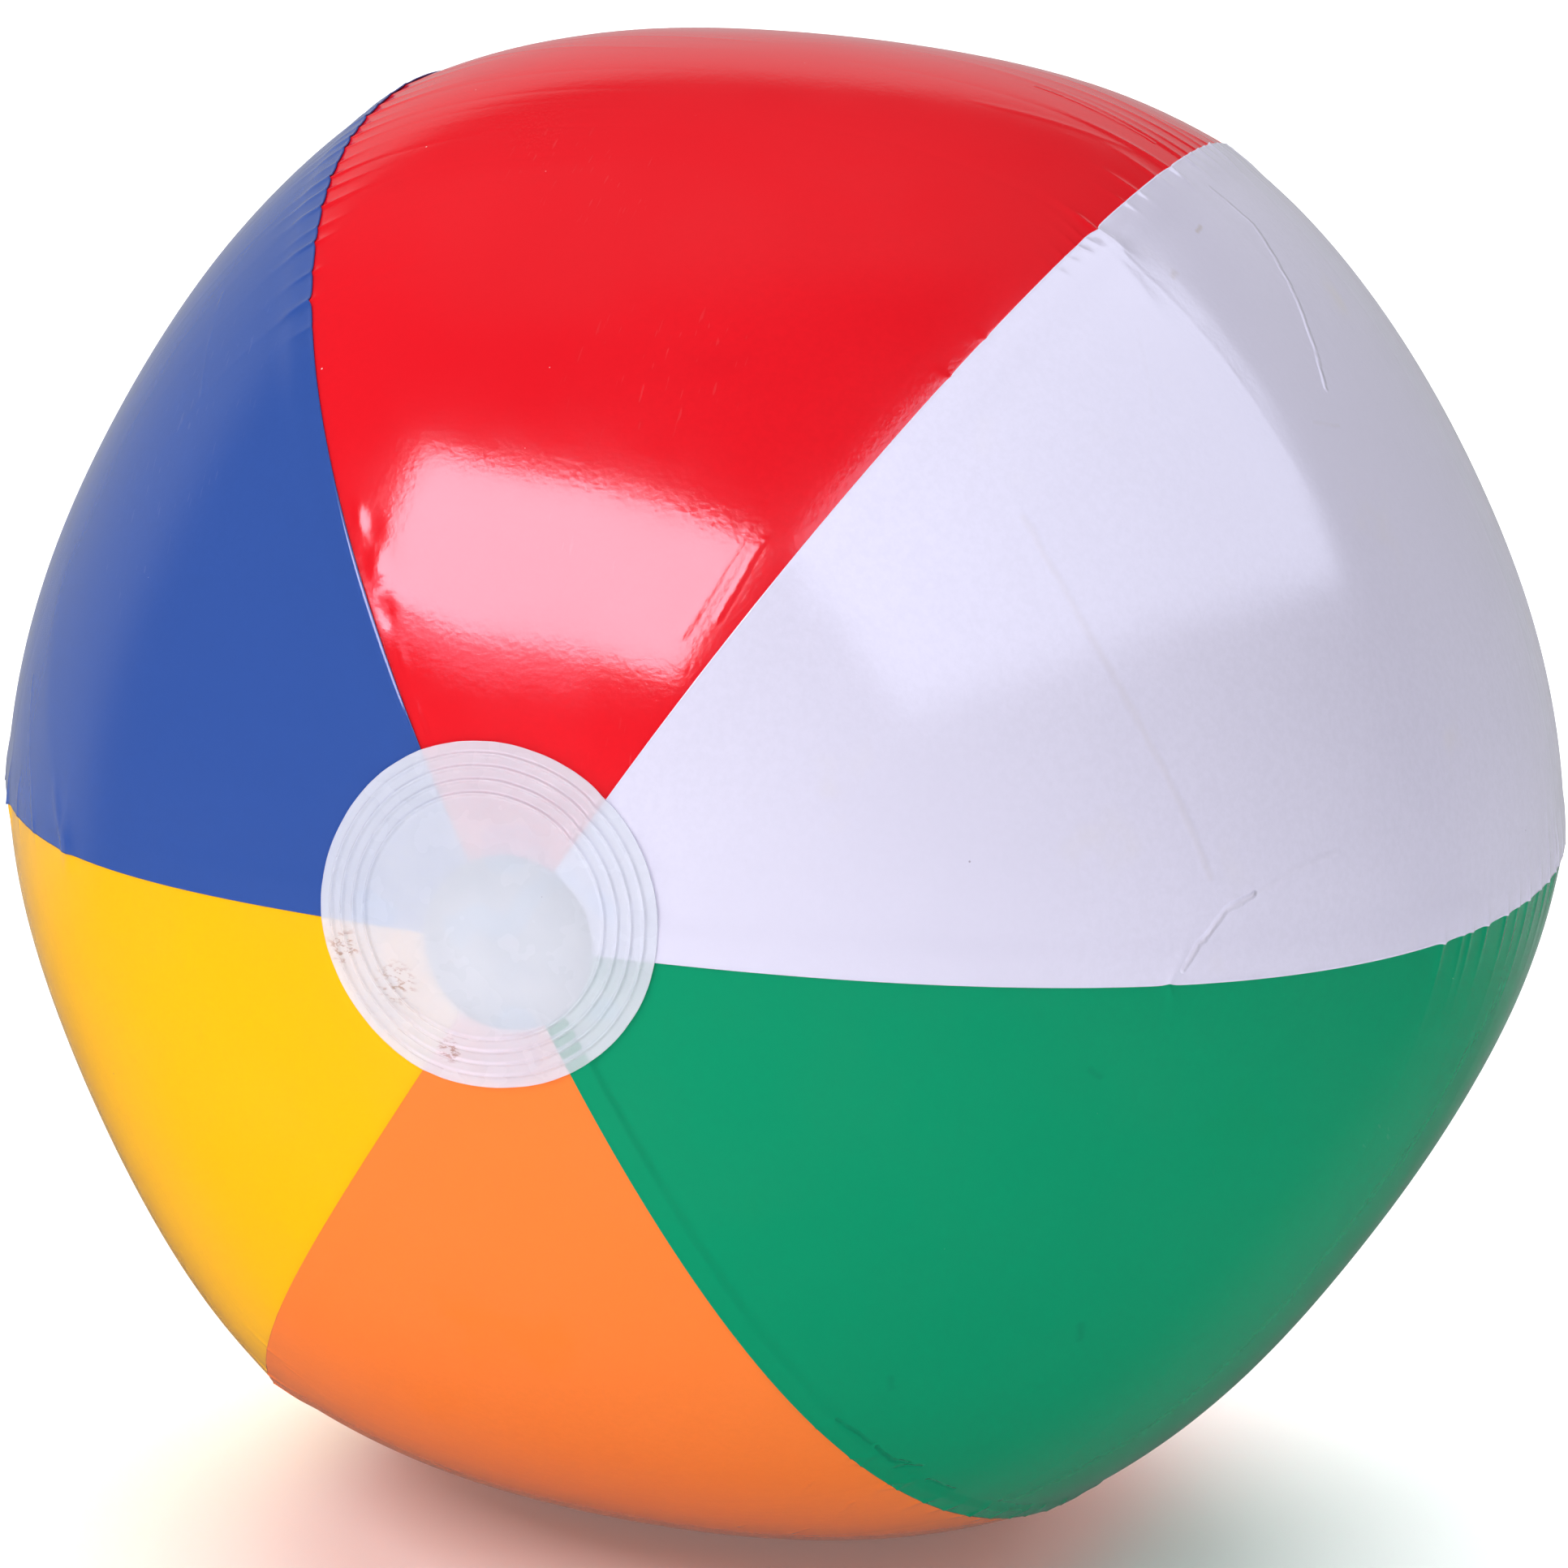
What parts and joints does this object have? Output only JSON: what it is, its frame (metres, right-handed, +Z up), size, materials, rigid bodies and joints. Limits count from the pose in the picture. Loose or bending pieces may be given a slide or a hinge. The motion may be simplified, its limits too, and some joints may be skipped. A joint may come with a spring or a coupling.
{
  "type": "inflatable beach ball",
  "caption": "Inflatable vinyl beach ball of coloured gores lap-welded from pole to pole, with a disc over each pole and a push-in stoppered air valve.",
  "frame": {"origin": "centre of the ball, midway between its poles", "axes": "+Y along the polar axis, out through the valve's disc; -Y out through the plain disc; +Z up, with the red gore on top and the middle of the orange gore on the floor"},
  "size_m": [0.298, 0.305, 0.2865],
  "materials": {
    "film_red": "glossy red vinyl film",
    "film_white": "glossy white vinyl film",
    "film_green": "glossy green vinyl film",
    "film_orange": "glossy orange vinyl film",
    "film_yellow": "glossy yellow vinyl film",
    "film_blue": "glossy blue vinyl film",
    "disc_film": "milky translucent vinyl film with embossed weld rings",
    "valve_vinyl": "soft milky translucent moulded vinyl"
  },
  "bodies": {
    "shell": {"gore_red": "film_red", "gore_white": "film_white", "gore_green": "film_green", "gore_orange": "film_orange", "gore_yellow": "film_yellow", "gore_blue": "film_blue", "front_disc": "disc_film", "rear_disc": "disc_film", "valve_flange": "valve_vinyl", "valve_skirt": "valve_vinyl"},
    "stem": {"valve_stem": "valve_vinyl", "strap_ring": "valve_vinyl"},
    "plug": {"stopper_plug": "valve_vinyl", "plug_strap": "valve_vinyl"},
    "flap": {"check_flap": "valve_vinyl"}
  },
  "joints": [
    {"name": "stem_slide", "type": "slide", "parent": "shell", "child": "stem", "axis": [0, 1, 0], "range_m": [0, 0.0115], "deforming": ["valve_skirt"]},
    {"name": "plug_swing", "type": "hinge", "parent": "stem", "child": "plug", "pos_m": [0.01095, 0.15197, 0], "axis": [0, 0, -1], "range_deg": [0, 120]},
    {"name": "flap_swing", "type": "hinge", "parent": "stem", "child": "flap", "pos_m": [0.0045, 0.14105, 0], "axis": [0, 0, 1], "range_deg": [0, 70], "stiffness_Nm_per_rad": 0.0005}
  ]
}
